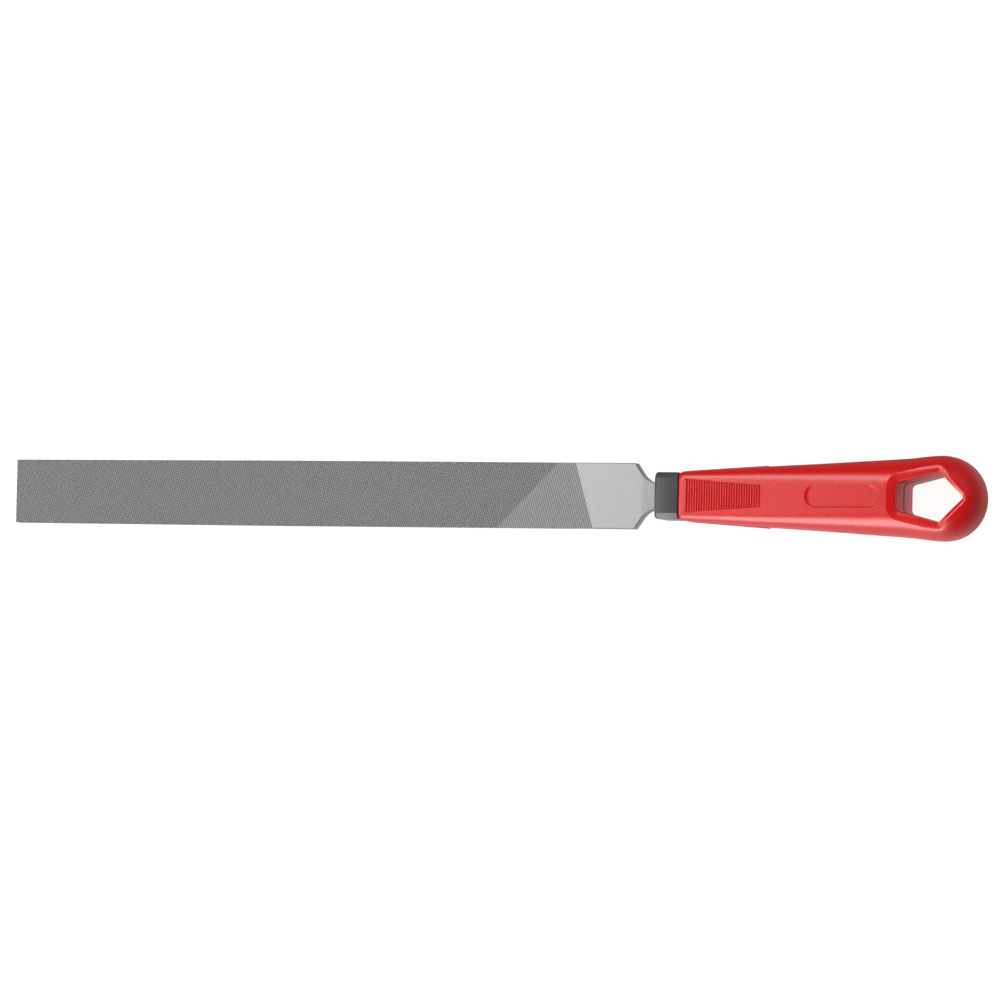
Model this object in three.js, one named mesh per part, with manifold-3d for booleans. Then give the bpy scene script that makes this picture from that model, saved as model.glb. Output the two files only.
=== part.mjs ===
// A 250 mm flat file with a two-part plastic handle.
//
// X runs along the file, from the tip (-X) to the butt of the handle (+X). Y is its width and
// Z its thickness. The pieces are drawn with X = 0 at the blade's shoulders, and the whole
// file is then moved so that its origin is the centre of its box.

import * as THREE from 'three';
import { mergeVertices } from 'three/addons/utils/BufferGeometryUtils.js';
import Module from 'manifold-3d';

const wasm = await Module();
wasm.setup();

// ---- Driving dimensions, in millimetres ----

const GAP = 0.3; // clearance between pieces that touch on the real file

// Blade
const BLADE_LENGTH = 250;
const BLADE_WIDTH = 25;
const BLADE_THICKNESS = 5.5; // over the tips of the teeth
const TIP_WIDTH = 24.3;
const TIP_TAPER_LENGTH = 110;
const SHOULDER_DEPTH = 2.9; // straight part of each shoulder, along X
const SHOULDER_HALF_WIDTH = 8.2; // where the straight part turns into the neck
const NECK_REACH = 3; // how far the neck's curve is drawn out, along X and across
const NECK_FLARE = 0.2;
const TANG_START = 8.5;
const TANG_END = 76;
const TANG_WIDTHS = [9.9, 4.6]; // at TANG_START and at TANG_END
const TANG_THICKNESSES = [5.2, 2.6];

// Insert: a collar that shows between blade and grip, and a sleeve inside the grip
const COLLAR_FRONT = 9.2;
const COLLAR_BACK = 18.6;
const COLLAR_WIDTH = 17.8;
const COLLAR_THICKNESS = 17;
const COLLAR_ROUNDING = 1.4;
const COLLAR_SQUARENESS = 6;
const SLEEVE_WIDTH = 13;
const SLEEVE_THICKNESS = 9;
const SLEEVE_END = TANG_END + 3;

// Grip
const GRIP_FRONT = COLLAR_BACK + GAP;
const GRIP_END = 136.5;
const BUTT_CENTRE = 120.8;
const BUTT_WIDTH = 32.2;
const BUTT_THICKNESS = 29.2;
const THICK_FROM = 114; // X where the grip reaches its full thickness
const CROWN_EASE = 0.35; // share of a sine in the rise to it, the rest being straight
const GRIP_FRONT_WIDTH = 18.7;
const GRIP_FRONT_THICKNESS = 18;
const GRIP_ROUNDING = 1.2; // front rim
const SQUARENESS = [8, 3]; // of the grip's section, at its front and from ROUND_FROM on
const ROUND_FROM = 100;
const ROUNDING_EASE = 0.4; // below 1, most of the change is near the front

// Ribbed pads on the four sides of the grip
const RIB_PITCH = 1;
const RIB_COUNT = 30;
const RIB_START = 22.2;
const RIB_WIDTH = 0.4;
const RIB_DEPTH = 0.4;
const FACE_PAD_SINK = 0.25; // the rib crests lie this far below the crown of the broad face
const FACE_RIB_HALF_WIDTHS = [6.3, 4.1]; // at the first rib and at the last
const SIDE_RIB_HALF_WIDTHS = [5, 3.4];
const SIDE_PAD_HEIGHTS = [0.12, 0.36]; // and this far above the narrow sides
const SIDE_PAD_MARGIN = 0.5; // plain rim of the raised pad before the first rib and after the last
const SIDE_PAD_ROOT = 2; // depth of the raised pad's own solid in the grip

// Plain round-ended recess on each broad face of the grip
const RECESS_CENTRE = 84.2;
const RECESS_LENGTH = 29.6;
const RECESS_WIDTH = 8.2;
const RECESS_DEPTH = 0.5;

// Five-sided hanging hole, with its point towards the butt
const HOLE_LEFT = 104.7;
const HOLE_WIDEST = 121.7;
const HOLE_POINT = 131.6;
const HOLE_LEFT_HALF = 5.5;
const HOLE_WIDEST_HALF = 10;
const HOLE_CORNER = 1.5;

// Fineness of the lofted pieces
const SIDES = 48;
const RING_STEP = 6; // between the rings along the grip

// ---- Booleans ----

function toSolid(geometry) {
  const bare = geometry.clone();
  bare.deleteAttribute('normal');
  bare.deleteAttribute('uv');
  const merged = mergeVertices(bare, 1e-4);
  return new wasm.Manifold(
    new wasm.Mesh({
      numProp: 3,
      vertProperties: merged.attributes.position.array,
      triVerts: new Uint32Array(merged.index.array),
    }),
  );
}

function toGeometry(solid) {
  const mesh = solid.getMesh();
  const geometry = new THREE.BufferGeometry();
  geometry.setAttribute('position', new THREE.BufferAttribute(mesh.vertProperties, 3));
  geometry.setIndex(new THREE.BufferAttribute(mesh.triVerts, 1));
  geometry.computeVertexNormals();
  return geometry;
}

// ---- Shared shapes ----

const mix = THREE.MathUtils.lerp;
const share = (x, from, to) => THREE.MathUtils.clamp((x - from) / (to - from), 0, 1);

// An outline in X and Y, extruded along Z between two heights.
function plate(shape, low, high) {
  const geometry = new THREE.ExtrudeGeometry(shape, {
    depth: high - low,
    bevelEnabled: false,
    curveSegments: 8,
  });
  return geometry.translate(0, 0, low);
}

// An outline in X and Z, extruded along Y over both sides of the middle plane.
function wall(shape, halfWidth) {
  return plate(shape, -halfWidth, halfWidth).rotateX(Math.PI / 2);
}

// A symmetric outline that is `first` wide at x = from and `last` wide at x = to.
function wedge(from, to, first, last) {
  return new THREE.Shape([
    new THREE.Vector2(from, -first / 2),
    new THREE.Vector2(to, -last / 2),
    new THREE.Vector2(to, last / 2),
    new THREE.Vector2(from, first / 2),
  ]);
}

// A solid along X made of rings with equally many points. placePoint(ring, angle) gives the
// place of each, with the angle running from +Y over +Z.
function loft(ringCount, sides, placePoint) {
  const spans = ringCount - 1;
  const geometry = new THREE.CylinderGeometry(1, 1, spans, sides, spans);
  geometry.rotateZ(-Math.PI / 2);
  const position = geometry.attributes.position;
  for (let i = 0; i < position.count; i += 1) {
    const ring = Math.round(position.getX(i) + spans / 2);
    const across = position.getY(i);
    const up = position.getZ(i);
    const point = placePoint(ring, Math.atan2(up, across));
    const onAxis = Math.hypot(across, up) < 0.5; // the middle of an end cap
    position.setXYZ(i, point.x, onAxis ? 0 : point.y, onAxis ? 0 : point.z);
  }
  return geometry;
}

// A power that keeps the sign of its base, and takes rounding noise for nothing.
function signedPower(base, power) {
  return Math.abs(base) < 1e-5 ? 0 : Math.sign(base) * Math.abs(base) ** power;
}

// A point on a squared-off ellipse; a squareness of 2 is a plain ellipse.
function squaredEllipse(x, halfWidth, halfThickness, squareness, angle) {
  const across = signedPower(Math.cos(angle), 2 / squareness);
  const up = signedPower(Math.sin(angle), 2 / squareness);
  return new THREE.Vector3(x, halfWidth * across, halfThickness * up);
}

// ---- Blade ----

function tangWedge(sizes, gap) {
  return wedge(TANG_START, TANG_END + gap, sizes[0] + 2 * gap, sizes[1] + 2 * gap);
}

function bladeOutline() {
  const half = BLADE_WIDTH / 2;
  const tang = TANG_WIDTHS.map((width) => width / 2);
  const neck = new THREE.Vector2(TANG_START - NECK_REACH, tang[0] + NECK_FLARE);
  const shape = new THREE.Shape();
  shape.moveTo(-BLADE_LENGTH, -TIP_WIDTH / 2);
  shape.lineTo(TIP_TAPER_LENGTH - BLADE_LENGTH, -half);
  shape.lineTo(0, -half);
  shape.lineTo(SHOULDER_DEPTH, -SHOULDER_HALF_WIDTH);
  shape.quadraticCurveTo(neck.x, -neck.y, TANG_START, -tang[0]);
  shape.lineTo(TANG_END, -tang[1]);
  shape.lineTo(TANG_END, tang[1]);
  shape.lineTo(TANG_START, tang[0]);
  shape.quadraticCurveTo(neck.x, neck.y, SHOULDER_DEPTH, SHOULDER_HALF_WIDTH);
  shape.lineTo(0, half);
  shape.lineTo(TIP_TAPER_LENGTH - BLADE_LENGTH, half);
  shape.lineTo(-BLADE_LENGTH, TIP_WIDTH / 2);
  shape.closePath();
  return shape;
}

function bladeSide() {
  const half = BLADE_THICKNESS / 2;
  const tang = TANG_THICKNESSES.map((thickness) => thickness / 2);
  return new THREE.Shape([
    new THREE.Vector2(-BLADE_LENGTH - 1, -half),
    new THREE.Vector2(SHOULDER_DEPTH, -half),
    new THREE.Vector2(TANG_START, -tang[0]),
    new THREE.Vector2(TANG_END + 1, -tang[1]),
    new THREE.Vector2(TANG_END + 1, tang[1]),
    new THREE.Vector2(TANG_START, tang[0]),
    new THREE.Vector2(SHOULDER_DEPTH, half),
    new THREE.Vector2(-BLADE_LENGTH - 1, half),
  ]);
}

function makeBlade() {
  const flat = toSolid(plate(bladeOutline(), -BLADE_THICKNESS, BLADE_THICKNESS));
  const side = toSolid(wall(bladeSide(), BLADE_WIDTH));
  return toGeometry(flat.intersect(side));
}

// ---- Insert ----

function collar() {
  const rings = [0, 30, 60, 90].map((degrees) => {
    const turn = THREE.MathUtils.degToRad(degrees);
    return {
      x: COLLAR_FRONT + COLLAR_ROUNDING * (1 - Math.cos(turn)),
      inset: COLLAR_ROUNDING * (1 - Math.sin(turn)),
    };
  });
  rings.push({ x: COLLAR_BACK, inset: 0 });
  return loft(rings.length, SIDES, (ring, angle) => {
    const { x, inset } = rings[ring];
    const halfWidth = COLLAR_WIDTH / 2 - inset;
    const halfThickness = COLLAR_THICKNESS / 2 - inset;
    return squaredEllipse(x, halfWidth, halfThickness, COLLAR_SQUARENESS, angle);
  });
}

function makeInsert() {
  const middle = (COLLAR_FRONT + COLLAR_BACK) / 2;
  const length = SLEEVE_END - middle;
  const sleeve = new THREE.BoxGeometry(length, SLEEVE_WIDTH, SLEEVE_THICKNESS);
  sleeve.translate(middle + length / 2, 0, 0);
  const socket = toSolid(plate(tangWedge(TANG_WIDTHS, GAP), -SLEEVE_WIDTH, SLEEVE_WIDTH)).intersect(
    toSolid(wall(tangWedge(TANG_THICKNESSES, GAP), SLEEVE_WIDTH)),
  );
  return toGeometry(toSolid(collar()).add(toSolid(sleeve)).subtract(socket));
}

// ---- Grip ----

// Half the grip's width, swelling to the butt and closing in an elliptical end.
const widthCurve = new THREE.CatmullRomCurve3(
  [
    [GRIP_FRONT, GRIP_FRONT_WIDTH / 2],
    [34, 10.3],
    [52, 11.45],
    [72, 12.6],
    [92, 13.9],
    [108, 14.95],
    [BUTT_CENTRE, BUTT_WIDTH / 2],
  ].map(([x, half]) => new THREE.Vector3(x, half, 0)),
);

function gripHalfWidth(x) {
  if (x >= BUTT_CENTRE) {
    const out = share(x, BUTT_CENTRE, GRIP_END);
    return (BUTT_WIDTH / 2) * Math.sqrt(1 - out * out);
  }
  let low = 0;
  let high = 1;
  for (let i = 0; i < 30; i += 1) {
    const guess = (low + high) / 2;
    if (widthCurve.getPoint(guess).x < x) {
      low = guess;
    } else {
      high = guess;
    }
  }
  return widthCurve.getPoint(low).y;
}

// Half the grip's thickness along its middle line, before the butt closes.
function crown(x) {
  const along = share(x, GRIP_FRONT, THICK_FROM);
  const eased = mix(along, Math.sin((along * Math.PI) / 2), CROWN_EASE);
  return mix(GRIP_FRONT_THICKNESS, BUTT_THICKNESS, eased) / 2;
}

// The section is a rounded square at the collar and grows rounder towards the butt.
function squareness(x) {
  return mix(SQUARENESS[0], SQUARENESS[1], share(x, GRIP_FRONT, ROUND_FROM) ** ROUNDING_EASE);
}

// Height of the grip's surface over the middle plane. It falls to nothing at the outline, along
// the sides and round the butt alike.
function gripHeight(x, y) {
  const beyond = Math.max(0, x - BUTT_CENTRE) / (GRIP_END - BUTT_CENTRE);
  const aside = Math.abs(y) / gripHalfWidth(Math.min(x, BUTT_CENTRE));
  const power = squareness(x);
  const reach = Math.min(1, Math.hypot(beyond, aside));
  return crown(x) * (1 - reach ** power) ** (1 / power);
}

function gripBody() {
  const rings = [0, 45, 90].map((degrees) => {
    const turn = THREE.MathUtils.degToRad(degrees);
    return {
      x: GRIP_FRONT + GRIP_ROUNDING * (1 - Math.cos(turn)),
      inset: GRIP_ROUNDING * (1 - Math.sin(turn)),
    };
  });
  for (let x = GRIP_FRONT + RING_STEP; x < BUTT_CENTRE - 1; x += RING_STEP) {
    rings.push({ x, inset: 0 });
  }
  for (const degrees of [0, 15, 30, 45, 60, 72, 82, 88]) {
    const turn = THREE.MathUtils.degToRad(degrees);
    rings.push({ x: mix(BUTT_CENTRE, GRIP_END, Math.sin(turn)), inset: 0 });
  }
  return loft(rings.length, SIDES, (ring, angle) => {
    const { x, inset } = rings[ring];
    const across = signedPower(Math.cos(angle), 2 / squareness(x));
    const y = gripHalfWidth(x) * across;
    const shrink = 1 - inset / gripHalfWidth(x);
    return new THREE.Vector3(x, y * shrink, Math.sign(angle) * gripHeight(x, y) * shrink);
  });
}

const RIB_END = RIB_START + RIB_COUNT * RIB_PITCH;

// A comb in X and Z that leaves the flat crests of the ribs when it is cut away. Its lower edge
// runs in a straight line, from `first` at the first rib to `last` at the last.
function combOutline(first, last) {
  const high = Math.max(first, last) + 2;
  const shape = new THREE.Shape();
  shape.moveTo(RIB_END, high);
  shape.lineTo(RIB_START, high);
  for (let i = 0; i < RIB_COUNT; i += 1) {
    const from = RIB_START + i * RIB_PITCH;
    const groove = RIB_PITCH - RIB_WIDTH;
    const crest = mix(first, last, i / RIB_COUNT);
    const nextCrest = mix(first, last, (i + groove) / RIB_COUNT);
    shape.lineTo(from, crest - RIB_DEPTH);
    shape.lineTo(from + groove, nextCrest - RIB_DEPTH);
    shape.lineTo(from + groove, nextCrest);
    shape.lineTo(from + RIB_PITCH, mix(first, last, (i + 1) / RIB_COUNT));
  }
  shape.closePath();
  return shape;
}

// Cutter for a ribbed pad on the +Z face; turned about X it serves the other faces.
function ribCutter(halfHeight, halfWidths, lifts) {
  const comb = combOutline(halfHeight(RIB_START) + lifts[0], halfHeight(RIB_END) + lifts[1]);
  const pad = wedge(RIB_START - 1, RIB_END + 1, 2 * halfWidths[0], 2 * halfWidths[1]);
  const teeth = toSolid(plate(comb, -BUTT_WIDTH, BUTT_WIDTH).rotateX(Math.PI / 2));
  return teeth.intersect(toSolid(plate(pad, 0, BUTT_WIDTH)));
}

// The raised pad under the ribs on each narrow side, drawn for the +Z face and turned.
function sidePad() {
  const from = RIB_START - SIDE_PAD_MARGIN;
  const to = RIB_END + SIDE_PAD_MARGIN;
  const profile = new THREE.Shape([
    new THREE.Vector2(from, gripHalfWidth(from) - SIDE_PAD_ROOT),
    new THREE.Vector2(to, gripHalfWidth(to) - SIDE_PAD_ROOT),
    new THREE.Vector2(to, gripHalfWidth(to) + SIDE_PAD_HEIGHTS[1]),
    new THREE.Vector2(from, gripHalfWidth(from) + SIDE_PAD_HEIGHTS[0]),
  ]);
  const plan = wedge(from, to, 2 * SIDE_RIB_HALF_WIDTHS[0], 2 * SIDE_RIB_HALF_WIDTHS[1]);
  return toSolid(wall(profile, BUTT_WIDTH)).intersect(toSolid(plate(plan, 0, BUTT_WIDTH)));
}

function recessCutter() {
  const straight = RECESS_LENGTH / 2 - RECESS_WIDTH / 2;
  const shape = new THREE.Shape();
  shape.absarc(straight, 0, RECESS_WIDTH / 2, -Math.PI / 2, Math.PI / 2);
  shape.absarc(-straight, 0, RECESS_WIDTH / 2, Math.PI / 2, (3 * Math.PI) / 2);
  const rise = crown(RECESS_CENTRE + straight) - crown(RECESS_CENTRE - straight);
  const geometry = plate(shape, -RECESS_DEPTH, 3);
  geometry.rotateY(-Math.atan2(rise, 2 * straight));
  return toSolid(geometry.translate(RECESS_CENTRE, 0, crown(RECESS_CENTRE)));
}

function holeOutline() {
  const corners = [
    [HOLE_LEFT, -HOLE_LEFT_HALF],
    [HOLE_WIDEST, -HOLE_WIDEST_HALF],
    [HOLE_POINT, 0],
    [HOLE_WIDEST, HOLE_WIDEST_HALF],
    [HOLE_LEFT, HOLE_LEFT_HALF],
  ].map(([x, y]) => new THREE.Vector2(x, y));
  const shape = new THREE.Shape();
  corners.forEach((corner, i) => {
    const before = corners[(i + corners.length - 1) % corners.length];
    const after = corners[(i + 1) % corners.length];
    const enter = before.clone().sub(corner).setLength(HOLE_CORNER).add(corner);
    const leave = after.clone().sub(corner).setLength(HOLE_CORNER).add(corner);
    if (i === 0) {
      shape.moveTo(enter.x, enter.y);
    } else {
      shape.lineTo(enter.x, enter.y);
    }
    shape.quadraticCurveTo(corner.x, corner.y, leave.x, leave.y);
  });
  shape.closePath();
  return shape;
}

function makeGrip() {
  const pocket = new THREE.BoxGeometry(
    SLEEVE_END + GAP - GRIP_FRONT + 1,
    SLEEVE_WIDTH + 2 * GAP,
    SLEEVE_THICKNESS + 2 * GAP,
  );
  pocket.translate((SLEEVE_END + GAP + GRIP_FRONT - 1) / 2, 0, 0);
  const faceRibs = ribCutter(crown, FACE_RIB_HALF_WIDTHS, [-FACE_PAD_SINK, -FACE_PAD_SINK]);
  const sideRibs = ribCutter(gripHalfWidth, SIDE_RIB_HALF_WIDTHS, SIDE_PAD_HEIGHTS);
  let solid = toSolid(gripBody());
  for (const turn of [90, 270]) {
    solid = solid.add(sidePad().rotate([turn, 0, 0]));
  }
  solid = solid.subtract(toSolid(pocket));
  solid = solid.subtract(toSolid(plate(holeOutline(), -BUTT_THICKNESS, BUTT_THICKNESS)));
  for (const turn of [0, 180]) {
    solid = solid.subtract(recessCutter().rotate([turn, 0, 0]));
    solid = solid.subtract(faceRibs.rotate([turn, 0, 0]));
    solid = solid.subtract(sideRibs.rotate([turn + 90, 0, 0]));
  }
  return toGeometry(solid);
}

// ---- Assembly ----

function piece(name, geometry, colour, roughness, metalness) {
  const material = new THREE.MeshStandardMaterial({ color: colour, roughness, metalness });
  const mesh = new THREE.Mesh(geometry, material);
  mesh.name = name;
  return mesh;
}

const group = new THREE.Group();
group.add(piece('file_blade', makeBlade(), 0x9c9c9a, 0.45, 0.9));
group.add(piece('tang_insert', makeInsert(), 0x4a4b4d, 0.6, 0));
group.add(piece('grip', makeGrip(), 0xd21f1c, 0.35, 0));
group.position.x = (BLADE_LENGTH - GRIP_END) / 2;

export default group;
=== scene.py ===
"""A 250 mm flat file with a two-part plastic handle.

Lengths are in millimetres while a piece is being made. X runs along the file, with X = 0 at the
blade's shoulders, Y is its width and Z its thickness, as in the CAD source. to_frame() turns
them into the frame's metres.
"""

import math

import bmesh
import bpy
import numpy as np
from mathutils import Matrix, Vector


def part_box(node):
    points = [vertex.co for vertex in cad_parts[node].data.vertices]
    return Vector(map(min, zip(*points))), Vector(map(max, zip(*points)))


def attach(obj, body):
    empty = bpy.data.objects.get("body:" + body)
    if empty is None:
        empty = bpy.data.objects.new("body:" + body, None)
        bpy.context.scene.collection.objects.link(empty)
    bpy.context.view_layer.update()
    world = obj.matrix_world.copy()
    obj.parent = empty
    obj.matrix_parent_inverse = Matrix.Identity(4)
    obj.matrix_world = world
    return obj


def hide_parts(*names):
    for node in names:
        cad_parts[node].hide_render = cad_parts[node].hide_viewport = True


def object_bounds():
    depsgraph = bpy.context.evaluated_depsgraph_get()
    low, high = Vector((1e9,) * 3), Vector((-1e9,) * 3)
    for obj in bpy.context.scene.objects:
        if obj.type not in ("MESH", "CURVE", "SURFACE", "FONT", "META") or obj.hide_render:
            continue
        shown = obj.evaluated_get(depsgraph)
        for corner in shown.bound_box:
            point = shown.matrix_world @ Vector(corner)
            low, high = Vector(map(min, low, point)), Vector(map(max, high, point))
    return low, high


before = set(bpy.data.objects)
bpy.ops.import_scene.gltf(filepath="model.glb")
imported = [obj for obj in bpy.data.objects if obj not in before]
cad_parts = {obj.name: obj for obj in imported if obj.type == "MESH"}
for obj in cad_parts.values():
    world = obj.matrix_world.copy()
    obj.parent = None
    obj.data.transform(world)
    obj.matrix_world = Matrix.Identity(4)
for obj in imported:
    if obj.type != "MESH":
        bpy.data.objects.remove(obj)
cad_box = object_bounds()

# ---- Sizes from the frame ----

BLADE_LENGTH = 250.0
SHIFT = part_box("file_blade")[0].x * 1000 + BLADE_LENGTH  # X of the shoulders in the frame
GRIP_LOW, GRIP_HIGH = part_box("grip")
GRIP_FRONT = GRIP_LOW.x * 1000 - SHIFT
COLLAR_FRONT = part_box("tang_insert")[0].x * 1000 - SHIFT
BLADE_HALF_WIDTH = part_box("file_blade")[1].y * 1000
BLADE_HALF_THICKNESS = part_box("file_blade")[1].z * 1000

# Blade
TIP_HALF_WIDTH = 12.15
TIP_TAPER_LENGTH = 110.0
SHOULDER_DEPTH = 2.9
SHOULDER_HALF_WIDTH = 8.2
TANG_START = 8.5
TANG_END = 76.0
TANG_HALF_WIDTHS = (4.95, 2.3)
TANG_HALF_THICKNESSES = (2.6, 1.3)
NECK_REACH = 3.0  # how far before the tang the curve of the neck is pulled
NECK_FLARE = 0.2
NECK_STEPS = 10
HEEL_EDGE_BREAK = 0.22

# Teeth. A cut is a family of parallel grooves; its slant is how far a groove runs along X for
# each millimetre of Y, and its step is the distance between grooves along X.
OVERCUT_SLANT = 0.959
OVERCUT_STEP = 1.07
OVERCUT_DEPTH = 0.38
UPCUT_SLANT = -0.29
UPCUT_STEP = 0.873
UPCUT_DEPTH = 0.38  # chosen for the tone of the faces, not measured
STEP_GROWTH = 0.00045  # teeth get finer towards the tip, by this share of a millimetre in each
TOOTH_RISE = 0.28  # share of a step that the steep front of a tooth takes
OVERCUT_END = -42.8  # where the overcut stops on the middle line
UPCUT_END = -20.2  # where the upcut stops on the middle line
CUT_EDGE = 0.12  # run of the slope where a cut begins
SKIN = 0.9  # thickness of the toothed layer above the core
PATCH_MARGIN = 3.0  # how far the toothed patch reaches past the blade before it is trimmed
PLAIN_STEP = 2.0  # between grid lines where there is no overcut
CORE_OVERLAP = 0.03  # of the core into each toothed layer
CORE_INSET = 0.02  # of the core from the blade's sides and tip
EDGE_CUT_STEP = 0.8
EDGE_CUT_DEPTH = 0.18
EDGE_CUT_LEAN = 0.25  # run along X for each millimetre of height
EDGE_CUT_END = UPCUT_END - 6.0

# Materials of the blade, in the order of its slots
CUT, GROUND, FORGED = range(3)

# Insert
COLLAR_BACK = GRIP_FRONT - 0.3
COLLAR_HALF_WIDTH = 8.9
COLLAR_HALF_THICKNESS = 8.5
COLLAR_ROUNDING = 1.5
COLLAR_CHAMFER = (2.2, 1.3)  # of its long edges, across and up
COLLAR_BULGE = 0.12
COLLAR_BACK_ROUNDING = 0.3
SLEEVE_HALF_WIDTH = 6.5
SLEEVE_HALF_THICKNESS = 4.5
SLEEVE_END = 79.0
SLEEVE_TIP_BEVEL = 0.8
CLEARANCE = 0.3
SOCKET_MOUTH = (0.4, 0.3)  # bevel where the tang goes in, along X and across
SOCKET_CORNER = 0.3
SLEEVE_CORNER = 0.6
CORNER_STEPS = 8

# Grip
GRIP_END = GRIP_HIGH.x * 1000 - SHIFT
BUTT_CENTRE = 120.8
BUTT_HALF_WIDTH = 16.1
BUTT_HALF_THICKNESS = 14.6
THICK_FROM = 114.0
GRIP_FRONT_HALF_THICKNESS = 9.0
GRIP_RIM = (2.2, 1.0)  # rounding of the front rim, along X and across
SQUARENESS = (8.0, 3.0)
ROUND_FROM = 100.0
CROWN_EASE = 0.35
ROUNDING_EASE = 0.4
# X and half width of the grip
GRIP_OUTLINE = [
    (GRIP_FRONT, 9.35),
    (34.0, 10.3),
    (52.0, 11.45),
    (72.0, 12.6),
    (92.0, 13.9),
    (108.0, 14.95),
    (BUTT_CENTRE, BUTT_HALF_WIDTH),
]

# Ribbed pads
RIB_PITCH = 1.0
RIB_COUNT = 30
RIB_START = 22.2
RIB_END = RIB_START + RIB_PITCH * RIB_COUNT
RIB_DEPTH = 0.42
RIB_GROOVE = 0.62  # share of the pitch that is groove
FACE_PAD_HALF_WIDTHS = (6.3, 4.1)
FACE_PAD_SINK = 0.12
SIDE_PAD_HALF_WIDTHS = (5.0, 3.4)
SIDE_PAD_HEIGHTS = (0.12, 0.36)
PAD_EDGE = 0.12
# Steps round a quarter of a ring: up the side pad, round the corner, and over the face pad
SIDE_PAD_STEPS = 4
CORNER_TURN_STEPS = 12
FACE_PAD_STEPS = 20

# Recess
RECESS_CENTRE = 84.2
RECESS_HALF_LENGTH = 14.8
RECESS_HALF_WIDTH = 4.35
RECESS_DEPTH = 0.5
RECESS_WALLS = (1.1, 0.5, 0.6)  # run of its wall at the tip end, the sides and the butt end

# Hanging hole
# X, Y and rounding of each corner
HOLE_CORNERS = [
    (131.6, 0.0, 1.4),
    (121.7, 10.0, 1.3),
    (104.7, 5.5, 2.2),
    (104.7, -5.5, 2.2),
    (121.7, -10.0, 1.3),
]
DISH_WIDTHS = (3.0, 1.4)  # round the hole's left part, and along the V of its point
DISH_DEPTH = 1.0
DISH_NARROWS = (118.0, 126.0)  # X between which the dish goes from one width to the other
DISH_SHARES = (0.05, 0.2, 0.4, 0.6, 0.8, 0.93, 1.0)  # of the way from its edge to the rim
SLOPE_STEPS = 26  # from the grip's outline in to the dish
SLOPE_LAST = 0.972  # share of that way just before the dish, which keeps its edge crisp
RIGHT_COUNT = 181  # points round the hole's point and the butt
HOLE_CORNER_STEPS = 12
RIM_ROUNDING = 0.25
PARTING_HALF_WIDTH = 0.7  # of the groove that the mould's parting leaves in the hole's wall
PARTING_DEPTH = 0.9
BACK_OF_LOFT = 98.6  # where the rings hand over to the patches round the hole
HOLE_SPLIT = 110.5  # X on the hole's long sides where the patch's left and right parts meet

# Floor
FLOOR_HALF_SIZE = 1.6
FLOOR_GAP = 0.0002


# ---- Small helpers ----


def mix(a, b, t):
    return a + (b - a) * t


def share(x, low, high):
    return np.clip((np.asarray(x, float) - low) / (high - low), 0, 1)


def smooth(t):
    return t * t * (3 - 2 * t)


def to_frame(points):
    points = np.asarray(points, float).reshape(-1, 3)
    return (points + [SHIFT, 0, 0]) / 1000


def mesh_object(name, points, faces, sharp_degrees):
    """A mesh object from points in millimetres."""
    mesh = bpy.data.meshes.new(name)
    mesh.from_pydata(to_frame(points).tolist(), [], faces)
    mesh.validate()
    shade(mesh, sharp_degrees)
    piece = bpy.data.objects.new(name, mesh)
    bpy.context.scene.collection.objects.link(piece)
    return piece


def shade(mesh, sharp_degrees):
    """Smooth faces, with edges kept sharp above an angle."""
    mesh.polygons.foreach_set("use_smooth", [True] * len(mesh.polygons))
    mesh.set_sharp_from_angle(angle=math.radians(sharp_degrees))
    mesh.update()


def bridge(faces, first, second, count):
    """Adds quads between two rings of `count` points that start at these indices."""
    for i in range(count):
        j = (i + 1) % count
        faces.append((first + i, first + j, second + j, second + i))


# ---- Blade ----


def groove_places(start, end, step):
    """Places of grooves from `start` down to `end`, growing closer on the way."""
    places = [start]
    while places[-1] > end:
        here = step + STEP_GROWTH * (places[-1] - start)
        places.append(places[-1] - here)
    return places


def cut_lines(start, end, step):
    """(place, is a crest) of the lines of one cut, from its end at the heel to the tip. Each
    tooth has its valley on the tip side and its crest a short way behind it."""
    places = groove_places(start, end, step)
    lines = []
    for back, front in zip(places, places[1:]):
        lines.append((back, False))
        lines.append((front + (back - front) * TOOTH_RISE, True))
    return lines


def toothed_patch():
    """The cut face as points and quads, larger than the blade all round. The grooves of the
    two cuts are its grid lines, so each tooth is a small pyramid."""
    reach = BLADE_HALF_WIDTH + PATCH_MARGIN
    tip = -BLADE_LENGTH - PATCH_MARGIN
    upcut = cut_lines(UPCUT_END, tip + UPCUT_SLANT * reach, UPCUT_STEP)
    upcut.insert(0, (UPCUT_END + CUT_EDGE, True))  # the edge of the heel
    overcut = cut_lines(OVERCUT_END, tip - OVERCUT_SLANT * reach, OVERCUT_STEP)
    plain_end = UPCUT_END + OVERCUT_SLANT * reach + PATCH_MARGIN
    plain = [(p, None) for p in np.arange(plain_end, OVERCUT_END + 1, -PLAIN_STEP)]
    plain.append((OVERCUT_END + CUT_EDGE, None))
    columns = plain + overcut
    points = []
    index = {}
    for u, (q, upcut_crest) in enumerate(upcut):
        for o, (p, overcut_crest) in enumerate(columns):
            y = (q - p) / (OVERCUT_SLANT - UPCUT_SLANT)
            x = p + OVERCUT_SLANT * y
            depth = 0.0 if upcut_crest else UPCUT_DEPTH
            if overcut_crest is False:
                depth = max(depth, OVERCUT_DEPTH)
            if abs(y) < reach and x > tip:
                index[u, o] = len(points)
                points.append((x, y, BLADE_HALF_THICKNESS - depth))
    faces = []
    for u in range(len(upcut) - 1):
        for o in range(len(columns) - 1):
            corners = [(u, o), (u, o + 1), (u + 1, o + 1), (u + 1, o)]
            if all(c in index for c in corners):
                faces.append([index[c] for c in corners])
    return points, faces


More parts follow.
